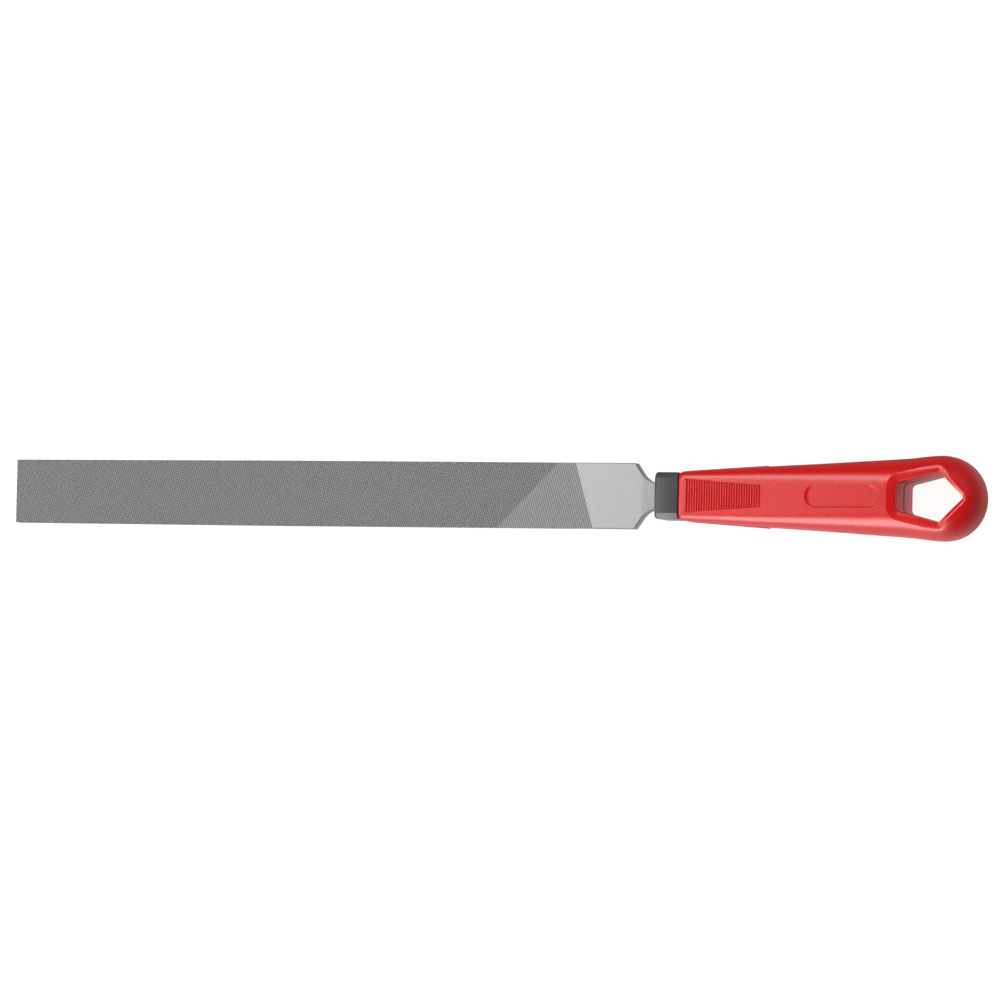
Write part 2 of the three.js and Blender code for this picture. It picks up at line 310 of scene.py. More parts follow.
def blade_half_width(x):
    along = share(x, -BLADE_LENGTH, TIP_TAPER_LENGTH - BLADE_LENGTH)
    return mix(TIP_HALF_WIDTH, BLADE_HALF_WIDTH, along)


def cut_skin():
    """One toothed layer of the blade, trimmed to the blade's outline and closed underneath."""
    points, faces = toothed_patch()
    bm = bmesh.new()
    vertices = [bm.verts.new(p) for p in points]
    for face in faces:
        bm.faces.new([vertices[i] for i in face])
    taper = (BLADE_HALF_WIDTH - TIP_HALF_WIDTH) / TIP_TAPER_LENGTH
    trims = [((-BLADE_LENGTH, 0, 0), (-1, 0, 0))]
    for side in (1, -1):
        trims.append(((0, side * BLADE_HALF_WIDTH, 0), (0, side, 0)))
        trims.append(((-BLADE_LENGTH, side * TIP_HALF_WIDTH, 0), (-taper, side, 0)))
    for place, outward in trims:
        bmesh.ops.bisect_plane(
            bm,
            geom=bm.verts[:] + bm.edges[:] + bm.faces[:],
            dist=1e-5,
            plane_co=place,
            plane_no=Vector(outward).normalized(),
            clear_outer=True,
        )
    rim = [e for e in bm.edges if e.is_boundary]
    made = bmesh.ops.extrude_edge_only(bm, edges=rim)["geom"]
    low = [g for g in made if isinstance(g, bmesh.types.BMVert)]
    for v in low:
        v.co.z = BLADE_HALF_THICKNESS - SKIN
    floor = [g for g in made if isinstance(g, bmesh.types.BMEdge)]
    bmesh.ops.edgenet_fill(bm, edges=[e for e in floor if e.is_boundary])
    bmesh.ops.recalc_face_normals(bm, faces=bm.faces[:])
    return bm


def core_slab():
    """The middle of the cut part, with the single cut of its two narrow edges."""
    half = BLADE_HALF_THICKNESS - SKIN + CORE_OVERLAP
    stations = []
    x = -BLADE_LENGTH
    while x < EDGE_CUT_END:
        stations.append((x, EDGE_CUT_DEPTH))
        stations.append((x + EDGE_CUT_STEP * TOOTH_RISE, 0.0))
        x += EDGE_CUT_STEP
    bm = bmesh.new()
    rows = []
    for side in (1, -1):
        for z in (-half, half):
            lean = side * z * EDGE_CUT_LEAN
            row = []
            for place, inset in stations:
                x = max(place + lean, -BLADE_LENGTH + CORE_INSET)
                y = blade_half_width(x) - inset - CORE_INSET
                row.append(bm.verts.new((x, side * y, z)))
            end = UPCUT_END + UPCUT_SLANT * side * BLADE_HALF_WIDTH
            row.append(bm.verts.new((end, side * (BLADE_HALF_WIDTH - CORE_INSET), z)))
            rows.append(row)
    left_low, left_high, right_low, right_high = rows
    count = len(left_low)
    for i in range(count - 1):
        bm.faces.new((left_low[i], left_low[i + 1], left_high[i + 1], left_high[i]))
        bm.faces.new((right_high[i], right_high[i + 1], right_low[i + 1], right_low[i]))
        bm.faces.new((left_high[i], left_high[i + 1], right_high[i + 1], right_high[i]))
        bm.faces.new((right_low[i], right_low[i + 1], left_low[i + 1], left_low[i]))
    bm.faces.new((left_low[0], left_high[0], right_high[0], right_low[0]))
    bm.faces.new((right_low[-1], right_high[-1], left_high[-1], left_low[-1]))
    bmesh.ops.recalc_face_normals(bm, faces=bm.faces[:])
    return bm


def curve_points(start, control, end, count):
    """Points along a quadratic curve, without its first."""
    start, control, end = (np.array(p, float) for p in (start, control, end))
    out = []
    for t in np.linspace(0, 1, count + 1)[1:]:
        out.append((1 - t) ** 2 * start + 2 * t * (1 - t) * control + t * t * end)
    return out


def heel_outline(inset):
    """The heel, shoulders and tang in plan, as a counter-clockwise outline drawn in by `inset`."""
    half = BLADE_HALF_WIDTH - inset
    left = UPCUT_END + CUT_EDGE
    slope = math.hypot(SHOULDER_DEPTH, BLADE_HALF_WIDTH - SHOULDER_HALF_WIDTH)
    pull = inset * slope / (BLADE_HALF_WIDTH - SHOULDER_HALF_WIDTH)
    shoulder = (SHOULDER_DEPTH - pull * 0.9, SHOULDER_HALF_WIDTH - inset * 0.4)
    corner = (-inset * (slope - SHOULDER_DEPTH) / (BLADE_HALF_WIDTH - SHOULDER_HALF_WIDTH), half)
    neck = (TANG_START, TANG_HALF_WIDTHS[0] - inset)
    control = (TANG_START - NECK_REACH, TANG_HALF_WIDTHS[0] + NECK_FLARE - inset)
    right = [np.array((left + UPCUT_SLANT * half, half)), np.array(corner), np.array(shoulder)]
    right += curve_points(shoulder, control, neck, NECK_STEPS)
    right.append(np.array((TANG_END - inset, TANG_HALF_WIDTHS[1] - inset)))
    points = [p * [1, -1] for p in right]
    points[0] = np.array((left - UPCUT_SLANT * half, -half))
    return points + right[::-1]


def heel_height(x):
    """Half the thickness of the heel and tang."""
    neck = share(x, SHOULDER_DEPTH, TANG_START)
    run = share(x, TANG_START, TANG_END)
    drop = mix(BLADE_HALF_THICKNESS, TANG_HALF_THICKNESSES[0], neck)
    return drop - run * (TANG_HALF_THICKNESSES[0] - TANG_HALF_THICKNESSES[1])


def heel_block():
    """Heel, shoulders and tang, with their long edges broken."""
    inner = heel_outline(HEEL_EDGE_BREAK)
    outer = heel_outline(0.0)
    count = len(outer)
    bm = bmesh.new()

    def ring(outline, drop, sign):
        made = []
        for x, y in outline:
            made.append(bm.verts.new((x, y, sign * (heel_height(x) - drop))))
        return made

    rings = [
        ring(inner, 0.0, 1),
        ring(outer, HEEL_EDGE_BREAK, 1),
        ring(outer, HEEL_EDGE_BREAK, -1),
        ring(inner, 0.0, -1),
    ]
    for upper, lower in zip(rings, rings[1:]):
        for i in range(count):
            j = (i + 1) % count
            bm.faces.new((upper[i], lower[i], lower[j], upper[j]))
    # Each broad face is cut into strips across the file, because the tang isn't level.
    for face_ring in (rings[0], rings[-1]):
        for i in range(count // 2 - 1):
            bm.faces.new(
                (face_ring[i], face_ring[i + 1], face_ring[count - 2 - i], face_ring[count - 1 - i])
            )
    bmesh.ops.recalc_face_normals(bm, faces=bm.faces[:])
    return bm


def make_blade():
    """Two toothed layers, the core between them, and the heel with its tang, as one object."""
    whole = bmesh.new()
    scratch = bpy.data.meshes.new("scratch")
    skin = cut_skin()
    under = skin.copy()
    bmesh.ops.transform(under, matrix=Matrix.Rotation(math.pi, 4, "X"), verts=under.verts[:])
    shells = ((CUT, skin), (CUT, under), (FORGED, core_slab()), (GROUND, heel_block()))
    for slot, shell in shells:
        for face in shell.faces:
            face.material_index = slot
            on_wall = abs(face.normal.z) < 0.5
            in_grip = face.calc_center_median().x > COLLAR_FRONT + 1
            if slot == GROUND and (on_wall or in_grip):
                face.material_index = FORGED
        shell.to_mesh(scratch)
        shell.free()
        whole.from_mesh(scratch)
    for v in whole.verts:
        v.co = Vector(to_frame(v.co)[0])
    mesh = bpy.data.meshes.new("blade")
    whole.to_mesh(mesh)
    whole.free()
    bpy.data.meshes.remove(scratch)
    shade(mesh, 20)
    piece = bpy.data.objects.new("blade", mesh)
    bpy.context.scene.collection.objects.link(piece)
    mesh.materials.append(cut_steel())
    mesh.materials.append(ground_steel())
    mesh.materials.append(forged_steel())
    return piece


# ---- Grip ----


def grip_half_width(x):
    """Half the grip's width up to the butt's centre: a smooth curve through GRIP_OUTLINE."""
    xs = np.array([p[0] for p in GRIP_OUTLINE])
    ys = np.array([p[1] for p in GRIP_OUTLINE])
    slopes = np.gradient(ys, xs)
    slopes[-1] = 0.0
    x = np.clip(np.asarray(x, float), xs[0], xs[-1])
    i = np.clip(np.searchsorted(xs, x) - 1, 0, len(xs) - 2)
    width = xs[i + 1] - xs[i]
    t = (x - xs[i]) / width
    return (
        ys[i] * (1 + 2 * t) * (1 - t) ** 2
        + slopes[i] * width * t * (1 - t) ** 2
        + ys[i + 1] * t * t * (3 - 2 * t)
        + slopes[i + 1] * width * t * t * (t - 1)
    )


def crown(x):
    along = share(x, GRIP_FRONT, THICK_FROM)
    eased = mix(along, np.sin(along * math.pi / 2), CROWN_EASE)
    return mix(GRIP_FRONT_HALF_THICKNESS, BUTT_HALF_THICKNESS, eased)


def squareness(x):
    return mix(SQUARENESS[0], SQUARENESS[1], share(x, GRIP_FRONT, ROUND_FROM) ** ROUNDING_EASE)


def grip_height(x, y):
    """Height of the grip's surface over the middle plane."""
    x = np.asarray(x, float)
    beyond = np.maximum(0, x - BUTT_CENTRE) / (GRIP_END - BUTT_CENTRE)
    aside = np.abs(y) / grip_half_width(x)
    power = squareness(x)
    reach = np.minimum(1, np.hypot(beyond, aside))
    return crown(x) * (1 - reach**power) ** (1 / power)


def rib_profile(x):
    """0 on the crests and up to 1 in the round-bottomed grooves between them."""
    phase = (x - RIB_START) % RIB_PITCH / RIB_PITCH
    aside = np.clip(2 * phase / RIB_GROOVE - 1, -1, 1)
    return np.sqrt(1 - aside**2)


def rib_stations():
    """X of the rings through the ribs, close together where the profile turns."""
    out = []
    for i in range(RIB_COUNT):
        for across in (0.0, 0.035, 0.15, 0.32, 0.5, 0.68, 0.85, 0.965, 1.0):
            out.append(RIB_START + (i + across * RIB_GROOVE) * RIB_PITCH)
    return out


def grip_stations():
    """(x, inset) of each ring from the front rim to the patches round the hole."""
    out = []
    for degrees in (0, 15, 30, 42, 54, 66, 78, 90):
        turn = math.radians(degrees)
        x = GRIP_FRONT + GRIP_RIM[0] * (1 - math.cos(turn))
        out.append((x, GRIP_RIM[1] * (1 - math.sin(turn))))
    xs = [21.3, RIB_START - PAD_EDGE] + rib_stations() + [RIB_END, RIB_END + PAD_EDGE]
    xs += list(np.linspace(RIB_END + 1.5, 68.4, 12))
    xs += list(np.arange(68.7, BACK_OF_LOFT - 0.1, 0.3)) + [BACK_OF_LOFT]
    return out + [(x, 0.0) for x in xs]


def quarter_ring(x):
    """(y, z) from the middle of the narrow side up to the middle of the broad face."""
    width = float(grip_half_width(x))
    thick = float(crown(x))
    power = float(squareness(x))
    along = float(share(x, RIB_START, RIB_END))
    side = mix(*SIDE_PAD_HALF_WIDTHS, along)
    face = mix(*FACE_PAD_HALF_WIDTHS, along)

    def tip_glint_valley_shade(z):
        return width * (1 - (z / thick) ** power) ** (1 / power), z

    def by_width(y):
        return y, thick * (1 - (y / width) ** power) ** (1 / power)

    out = [tip_glint_valley_shade(z) for z in np.linspace(0, side, SIDE_PAD_STEPS + 1)]
    low = tip_glint_valley_shade(side + PAD_EDGE)
    high = by_width(face + PAD_EDGE)
    start = math.atan2((low[1] / thick) ** (power / 2), (low[0] / width) ** (power / 2))
    end = math.atan2((high[1] / thick) ** (power / 2), (high[0] / width) ** (power / 2))
    for angle in np.linspace(start, end, CORNER_TURN_STEPS + 1):
        out.append(
            (
                width * math.cos(angle) ** (2 / power),
                thick * math.sin(angle) ** (2 / power),
            )
        )
    out += [by_width(y) for y in np.linspace(face, 0, FACE_PAD_STEPS + 1)]
    return out


def in_pad(x):
    return RIB_START - 1e-6 <= x <= RIB_END + 1e-6


def detailed_quarter(x, inset):
    """A quarter ring with the pads, ribs and recess in it."""
    ring = quarter_ring(x)
    side_count = SIDE_PAD_STEPS + 1
    face_start = side_count + CORNER_TURN_STEPS + 1
    out = []
    for i, (y, z) in enumerate(ring):
        if in_pad(x):
            groove = RIB_DEPTH * float(rib_profile(x))
            along = float(share(x, RIB_START, RIB_END))
            if i < side_count:
                y += mix(*SIDE_PAD_HEIGHTS, along) - groove
            if i >= face_start:
                level = mix(float(crown(RIB_START)), float(crown(RIB_END)), along)
                z = min(z, level - FACE_PAD_SINK) - groove
        if i >= face_start:
            z -= RECESS_DEPTH * recess_share(x, y)
        shrink_y = 1 - inset / float(grip_half_width(x))
        shrink_z = 1 - inset / float(crown(x))
        out.append((y * shrink_y, z * shrink_z))
    return out


def recess_share(x, y):
    """1 inside the recess, 0 outside, and between them over the run of its wall."""
    straight = RECESS_HALF_LENGTH - RECESS_HALF_WIDTH
    past = max(0.0, abs(x - RECESS_CENTRE) - straight)
    away = math.hypot(past, y)
    to_tip, aside, to_butt = RECESS_WALLS
    end = to_tip if x < RECESS_CENTRE else to_butt
    run = mix(aside, end, (past / away) ** 2) if away > 0 else aside
    return float(smooth(np.clip((RECESS_HALF_WIDTH - away) / run, 0, 1)))


def half_ring(x, inset):
    """(y, z) over the top from the +Y side to the -Y side, both ends included."""
    quarter = detailed_quarter(x, inset)
    return quarter + [(-y, z) for y, z in quarter[-2::-1]]


def full_ring(x, inset):
    """The whole ring, from the +Y side over the top and back underneath."""
    half = half_ring(x, inset)
    return half + [(y, -z) for y, z in half[-2:0:-1]]


def rounded_outline(corners, per_corner):
    """An outline with rounded corners, as (point, outward direction) pairs in order."""
    out = []
    radii = [radius for _, _, radius in corners]
    corners = [np.array((x, y)) for x, y, _ in corners]
    for i, (corner, radius) in enumerate(zip(corners, radii)):
        to_last = corners[i - 1] - corner
        to_next = corners[(i + 1) % len(corners)] - corner
        to_last /= np.linalg.norm(to_last)
        to_next /= np.linalg.norm(to_next)
        half = math.acos(float(np.clip(to_last @ to_next, -1, 1))) / 2
        middle = to_last + to_next
        middle /= np.linalg.norm(middle)
        centre = corner + middle * radius / math.sin(half)
        first = corner + to_last * radius / math.tan(half) - centre
        last = corner + to_next * radius / math.tan(half) - centre
        a = math.atan2(first[1], first[0])
        b = math.atan2(last[1], last[0])
        while b < a:
            b += 2 * math.pi
        for angle in np.linspace(a, b, per_corner + 1):
            direction = np.array((math.cos(angle), math.sin(angle)))
            out.append((centre + radius * direction, direction))
    return out


def resample(path, stops):
    """Points and directions at these shares of an open path's length."""
    points = np.array([p for p, _ in path])
    directions = np.array([d for _, d in path])
    lengths = np.concatenate([[0], np.cumsum(np.linalg.norm(np.diff(points, axis=0), axis=1))])
    at = np.asarray(stops) * lengths[-1]
    place = np.column_stack([np.interp(at, lengths, points[:, k]) for k in range(2)])
    turned = np.column_stack([np.interp(at, lengths, directions[:, k]) for k in range(2)])
    turned /= np.linalg.norm(turned, axis=1)[:, None]
    return place, turned


def nearest_to_split(dense, side):
    """Which of these points, on the +Y or the -Y side, is nearest to HOLE_SPLIT."""
    on_side = [i for i, (p, _) in enumerate(dense) if p[1] * side > 0]
    return min(on_side, key=lambda i: abs(dense[i][0][0] - HOLE_SPLIT))


def hole_rims(left_count, right_count):
    """The hole's outline as two runs. The left run goes from the +Y side round the left wall to
    the -Y side, and the right run goes on round the point and back."""
    outline = rounded_outline(HOLE_CORNERS, HOLE_CORNER_STEPS)
    dense = []
    for (p, d), (q, e) in zip(outline, outline[1:] + outline[:1]):
        for t in np.linspace(0, 1, 24, endpoint=False):
            direction = mix(d, e, t)
            dense.append((mix(p, q, t), direction / np.linalg.norm(direction)))
    # dense starts at the point and runs counter-clockwise: up, left, down
    upper = nearest_to_split(dense, 1)
    lower = nearest_to_split(dense, -1)
    left = dense[upper : lower + 1]
    right = dense[lower:] + dense[: upper + 1]
    left_points = resample(left, np.linspace(0, 1, left_count))
    right_points = resample(right, np.linspace(0, 1, right_count))
    return left_points, right_points


def butt_outline(count):
    """The grip's outline in plan from the -Y side of BACK_OF_LOFT round the butt to +Y."""
    xs = np.linspace(BACK_OF_LOFT, BUTT_CENTRE, 60)
    side = np.column_stack([xs, -grip_half_width(xs)])
    angles = np.linspace(-math.pi / 2, 0, 90)[1:]
    bend = np.column_stack(
        [
            BUTT_CENTRE + (GRIP_END - BUTT_CENTRE) * np.cos(angles),
            BUTT_HALF_WIDTH * np.sin(angles),
        ]
    )
    lower = np.vstack([side, bend])
    upper = lower[-2::-1] * [1, -1]
    path = [(p, np.array((1.0, 0.0))) for p in np.vstack([lower, upper])]
    return resample(path, np.linspace(0, 1, count))[0]


def dish_drop(depth_share):
    """How far the dish round the hole has dropped, from its outer edge (0) to the rim (1)."""
    return DISH_DEPTH * (0.75 * depth_share + 0.25 * depth_share**2)


def make_grip():
    points = []
    faces = []
    stations = grip_stations()
    ring_size = len(full_ring(*stations[-1]))
    # Pocket for the insert's sleeve, from its floor out to the front face
    pocket_y = SLEEVE_HALF_WIDTH + CLEARANCE
    pocket_z = SLEEVE_HALF_THICKNESS + CLEARANCE
    starts = []

    def add_ring(x, ring):
        starts.append(len(points))
        points.extend((x, y, z) for y, z in ring)

    pocket = rectangle_ring(pocket_y, pocket_z, full_ring(*stations[0]))
    add_ring(SLEEVE_END + CLEARANCE, pocket)
    add_ring(GRIP_FRONT, pocket)
    for x, inset in stations:
        add_ring(x, full_ring(x, inset))
    faces.append(tuple(range(starts[0], starts[0] + ring_size)))
    for first, second in zip(starts, starts[1:]):
        bridge(faces, first, second, ring_size)
    last = starts[-1]
    half = ring_size // 2
    top_row = [last + i for i in range(half + 1)]
    under_row = [last + (ring_size - i) % ring_size for i in range(half + 1)]
    add_butt(points, faces, top_row, under_row)
    return mesh_object("grip_body", points, faces, 28)


def rectangle_ring(half_width, half_height, like):
    """A ring on a rectangle with its points in the directions of another ring's."""
    out = []
    for y, z in like:
        grow = 1 / max(abs(y) / half_width, abs(z) / half_height)
        out.append((y * grow, z * grow))
    return out


def add_butt(points, faces, top_row, under_row):
    """The patches round the hanging hole, and the hole's walls."""
    left_count = len(top_row)
    section = np.array([points[i][:2] for i in top_row])
    butt = butt_outline(RIGHT_COUNT)
    outer = np.vstack([section, butt[1:-1]])
    (left, left_out), (right, right_out) = hole_rims(left_count, RIGHT_COUNT)
    rim = np.vstack([left, right[1:-1]])
    away = np.vstack([left_out, right_out[1:-1]])
    count = len(outer)
    width = mix(*DISH_WIDTHS, smooth(share(rim[:, 0], *DISH_NARROWS)))
    dish = rim + away * width[:, None]

    rows_in_plan = []
    slope_shares = [1 - math.cos(i / SLOPE_STEPS * math.pi / 2) for i in range(1, SLOPE_STEPS)]
    for t in slope_shares + [SLOPE_LAST, 1.0]:
        rows_in_plan.append((mix(outer, dish, t), 0.0))
    for s in DISH_SHARES:
        rows_in_plan.append((mix(dish, rim, s), s))

    outline_start = len(points)
    points.extend((x, y, 0.0) for x, y in butt[1:-1])
    outline_row = list(range(outline_start, len(points)))
    rims = []
    for sign, row in ((1, top_row), (-1, under_row)):
        before = row + outline_row
        for plan, s in rows_in_plan:
            height = grip_height(plan[:, 0], plan[:, 1]) - dish_drop(s)
            start = len(points)
            points.extend((x, y, sign * z) for (x, y), z in zip(plan, height))
            here = list(range(start, start + count))
            for i in range(count):
                j = (i + 1) % count
                quad = (before[i], before[j], here[j], here[i])
                faces.append(quad if sign > 0 else quad[::-1])
            before = here
        rims.append(before)
    add_hole_wall(points, faces, rims, rim, away, count)


def add_hole_wall(points, faces, rims, rim, away, count):
    """The wall of the hole, with the mould's parting line round its middle."""
    top, under = rims
    rows = [top]
    rim_height = np.array([points[i][2] for i in top])
    # How far the rounding of the rim goes in and down, in shares of RIM_ROUNDING
    rounding = ((0.3, 0.12), (0.71, 0.5), (1.0, 1.2))

    def row(inset, heights):
        start = len(points)
        plan = rim + away * inset
        points.extend((x, y, z) for (x, y), z in zip(plan, heights))
        return list(range(start, start + count))

    for sign in (1, -1):
        shape = []
        for inward, down in rounding:
            shape.append((-RIM_ROUNDING * inward, sign * (rim_height - RIM_ROUNDING * down)))
        shape.append((-RIM_ROUNDING, np.full(count, sign * PARTING_HALF_WIDTH)))
        floor_height = np.full(count, sign * PARTING_HALF_WIDTH * 0.4)
        shape.append((PARTING_DEPTH - RIM_ROUNDING, floor_height))
        for inset, heights in shape if sign > 0 else shape[::-1]:
            rows.append(row(inset, heights))
    rows.append(under)
    for before, here in zip(rows, rows[1:]):
        for i in range(count):
            j = (i + 1) % count
            faces.append((before[i], before[j], here[j], here[i]))


# ---- Insert ----


def cut_corner_ring(half_width, half_height, chamfer, bulge):
    """(y, z) round a rectangle with cut corners, starting at the +Y side. The cuts are flat at
    a bulge of 0 and round at a bulge of 1."""
    out = []
    for corner, (sy, sz) in enumerate(((1, 1), (-1, 1), (-1, -1), (1, -1))):
        for i in range(CORNER_STEPS + 1):
            along = i / CORNER_STEPS
            if sy != sz:
                along = 1 - along
            turn = along * math.pi / 2
            y = mix(1 - along, math.cos(turn), bulge)
            z = mix(along, math.sin(turn), bulge)
            out.append(
                (
                    sy * (half_width - chamfer[0] * (1 - y)),
                    sz * (half_height - chamfer[1] * (1 - z)),
                )
            )
    return out


def make_insert():
    """The collar between blade and grip, its sleeve inside the grip, and the socket in it."""
    points = []
    faces = []
    rings = []

    def add_ring(x, half_width, half_height, chamfer, bulge=1.0):
        rings.append(len(points))
        ring = cut_corner_ring(half_width, half_height, chamfer, bulge)
        points.extend((x, y, z) for y, z in ring)

    def tang_ring(x, room):
        along = (x - TANG_START) / (TANG_END - TANG_START)
        width = mix(*TANG_HALF_WIDTHS, along) + room
        height = mix(*TANG_HALF_THICKNESSES, along) + room
        add_ring(x, width, height, (SOCKET_CORNER, SOCKET_CORNER))

    def collar_ring(x, inset):
        chamfer = [max(0.2, size - inset * 0.5) for size in COLLAR_CHAMFER]
        width = COLLAR_HALF_WIDTH - inset
        height = COLLAR_HALF_THICKNESS - inset
        add_ring(x, width, height, chamfer, COLLAR_BULGE)

    def sleeve_ring(x, inset):
        width = SLEEVE_HALF_WIDTH - inset
        height = SLEEVE_HALF_THICKNESS - inset
        add_ring(x, width, height, (SLEEVE_CORNER, SLEEVE_CORNER))

    tang_ring(TANG_END + CLEARANCE, CLEARANCE)
    tang_ring(COLLAR_FRONT + SOCKET_MOUTH[0], CLEARANCE)
    tang_ring(COLLAR_FRONT, CLEARANCE + SOCKET_MOUTH[1])
    for degrees in (0, 18, 36, 54, 72, 90):
        turn = math.radians(degrees)
        x = COLLAR_FRONT + COLLAR_ROUNDING * (1 - math.cos(turn))
        collar_ring(x, COLLAR_ROUNDING * (1 - math.sin(turn)))
    for degrees in (0, 45, 90):
        turn = math.radians(degrees)
        x = COLLAR_BACK - COLLAR_BACK_ROUNDING * (1 - math.sin(turn))
        collar_ring(x, COLLAR_BACK_ROUNDING * (1 - math.cos(turn)))
    sleeve_ring(COLLAR_BACK, 0.0)
    sleeve_ring(SLEEVE_END - SLEEVE_TIP_BEVEL, 0.0)
    sleeve_ring(SLEEVE_END, SLEEVE_TIP_BEVEL)
    size = 4 * (CORNER_STEPS + 1)
    faces.append(tuple(range(size)))
    for first, second in zip(rings, rings[1:]):
        bridge(faces, first, second, size)
    faces.append(tuple(range(rings[-1] + size - 1, rings[-1] - 1, -1)))
    return mesh_object("insert", points, faces, 24)


# ---- Materials ----


def new_material(name):
    """A material with its Principled shader, and short names for its node tree."""
    material = bpy.data.materials.new(name)
    material.use_nodes = True
    tree = material.node_tree
    shader = next(n for n in tree.nodes if n.type == "BSDF_PRINCIPLED")
    return material, tree, shader


def add_noise(tree, scale, detail, stretch=(1, 1, 1)):
    """Noise over the object's own coordinates, in metres, stretched along an axis."""
    place = tree.nodes.new("ShaderNodeTexCoord")
    mapping = tree.nodes.new("ShaderNodeMapping")
    mapping.inputs["Scale"].default_value = stretch
    noise = tree.nodes.new("ShaderNodeTexNoise")
    noise.inputs["Scale"].default_value = scale
    noise.inputs["Detail"].default_value = detail
    tree.links.new(place.outputs["Object"], mapping.inputs["Vector"])
    tree.links.new(mapping.outputs["Vector"], noise.inputs["Vector"])
    return noise.outputs["Fac"]


def add_ramp(tree, source, stops):
    """A colour ramp; stops are (place, grey or colour)."""
    ramp = tree.nodes.new("ShaderNodeValToRGB")
    elements = ramp.color_ramp.elements
    while len(elements) < len(stops):
        elements.new(0.5)
    for element, (place, colour) in zip(elements, stops):
        element.position = place
        if isinstance(colour, (int, float)):
            colour = (colour, colour, colour)
        element.color = (*colour, 1)
    tree.links.new(source, ramp.inputs["Fac"])
    return ramp.outputs["Color"]


def add_bump(tree, shader, source, strength, distance):
    bump = tree.nodes.new("ShaderNodeBump")
    bump.inputs["Strength"].default_value = strength
    bump.inputs["Distance"].default_value = distance
    tree.links.new(source, bump.inputs["Height"])
    tree.links.new(bump.outputs["Normal"], shader.inputs["Normal"])


def z_size(tree, kind):
    """The size of Z, whatever its sign, in the object's own "Object" or "Normal" coordinates."""
    place = tree.nodes.new("ShaderNodeTexCoord")
    split = tree.nodes.new("ShaderNodeSeparateXYZ")
    size = tree.nodes.new("ShaderNodeMath")
    size.operation = "ABSOLUTE"
    tree.links.new(place.outputs[kind], split.inputs["Vector"])
    tree.links.new(split.outputs["Z"], size.inputs[0])
    return size.outputs[0]


def cut_steel():
    """Grey hardened steel of the cut faces, coloured by height: a painted highlight on the tips of
    the teeth and painted shade in the valleys between them.
    """
    material, tree, shader = new_material("cut_steel")
    shader.inputs["Metallic"].default_value = 0.6
    rise = tree.nodes.new("ShaderNodeMapRange")
    rise.inputs["From Min"].default_value = (BLADE_HALF_THICKNESS - OVERCUT_DEPTH) / 1000
    rise.inputs["From Max"].default_value = BLADE_HALF_THICKNESS / 1000
    tree.links.new(z_size(tree, "Object"), rise.inputs["Value"])
    # Painted highlight on the teeth's tips and painted shade down in their valleys, set by height.
    tip_glint_valley_shade = [(0.0, 0.17), (0.26, 0.3), (0.6, 0.46), (1.0, 0.66)]
    grey = add_ramp(tree, rise.outputs[0], tip_glint_valley_shade)
    tree.links.new(grey, shader.inputs["Base Color"])
    grain = add_noise(tree, 2500, 3)
    rough = add_ramp(tree, grain, [(0.3, 0.6), (0.7, 0.72)])
    tree.links.new(rough, shader.inputs["Roughness"])
    return material


def ground_steel():
    """Bright ground steel of the heel, with fine marks across the file."""
    material, tree, shader = new_material("ground_steel")
    shader.inputs["Metallic"].default_value = 1.0
    marks = add_noise(tree, 900, 6, stretch=(6, 0.25, 1))
    grey = add_ramp(tree, marks, [(0.3, (0.35, 0.35, 0.347)), (0.7, (0.39, 0.39, 0.387))])
    tree.links.new(grey, shader.inputs["Base Color"])
    rough = add_ramp(tree, marks, [(0.3, 0.34), (0.7, 0.46)])
    tree.links.new(rough, shader.inputs["Roughness"])
    add_bump(tree, shader, marks, 0.15, 0.00002)
    return material


def forged_steel():
    """Darker steel of the shoulders' walls, the narrow edges and the tang."""
    material, tree, shader = new_material("forged_steel")
    shader.inputs["Metallic"].default_value = 0.9
    cloud = add_noise(tree, 400, 5)
    grey = add_ramp(tree, cloud, [(0.3, (0.17, 0.17, 0.168)), (0.7, (0.24, 0.24, 0.237))])
    tree.links.new(grey, shader.inputs["Base Color"])
    rough = add_ramp(tree, cloud, [(0.3, 0.42), (0.7, 0.55)])
    tree.links.new(rough, shader.inputs["Roughness"])
    return material


def grip_plastic():
    """Semi-gloss red moulding, duller on its narrow sides and in the hole than on its faces."""
    material, tree, shader = new_material("grip_plastic")
    cloud = add_noise(tree, 35, 3)
    red = add_ramp(tree, cloud, [(0.3, (0.47, 0.001, 0.001)), (0.7, (0.5, 0.0015, 0.0012))])
    tree.links.new(red, shader.inputs["Base Color"])
    grain = add_noise(tree, 2200, 3)
    add_bump(tree, shader, grain, 0.05, 0.00003)
    dull = add_ramp(tree, z_size(tree, "Normal"), [(0.35, 0.5), (0.8, 0.24)])
    rough = tree.nodes.new("ShaderNodeMath")
    rough.operation = "MULTIPLY_ADD"
    rough.inputs[1].default_value = 0.08
    tree.links.new(grain, rough.inputs[0])
    tree.links.new(dull, rough.inputs[2])
    tree.links.new(rough.outputs[0], shader.inputs["Roughness"])
    return material


def insert_plastic():
    """Dark grey matte moulding."""
    material, tree, shader = new_material("insert_plastic")
    cloud = add_noise(tree, 150, 4)
    grey = add_ramp(tree, cloud, [(0.3, (0.032, 0.033, 0.034)), (0.7, (0.044, 0.045, 0.046))])
    tree.links.new(grey, shader.inputs["Base Color"])
    grain = add_noise(tree, 1500, 4)
    rough = add_ramp(tree, grain, [(0.3, 0.38), (0.7, 0.46)])
    tree.links.new(rough, shader.inputs["Roughness"])
    add_bump(tree, shader, grain, 0.15, 0.00004)
    return material


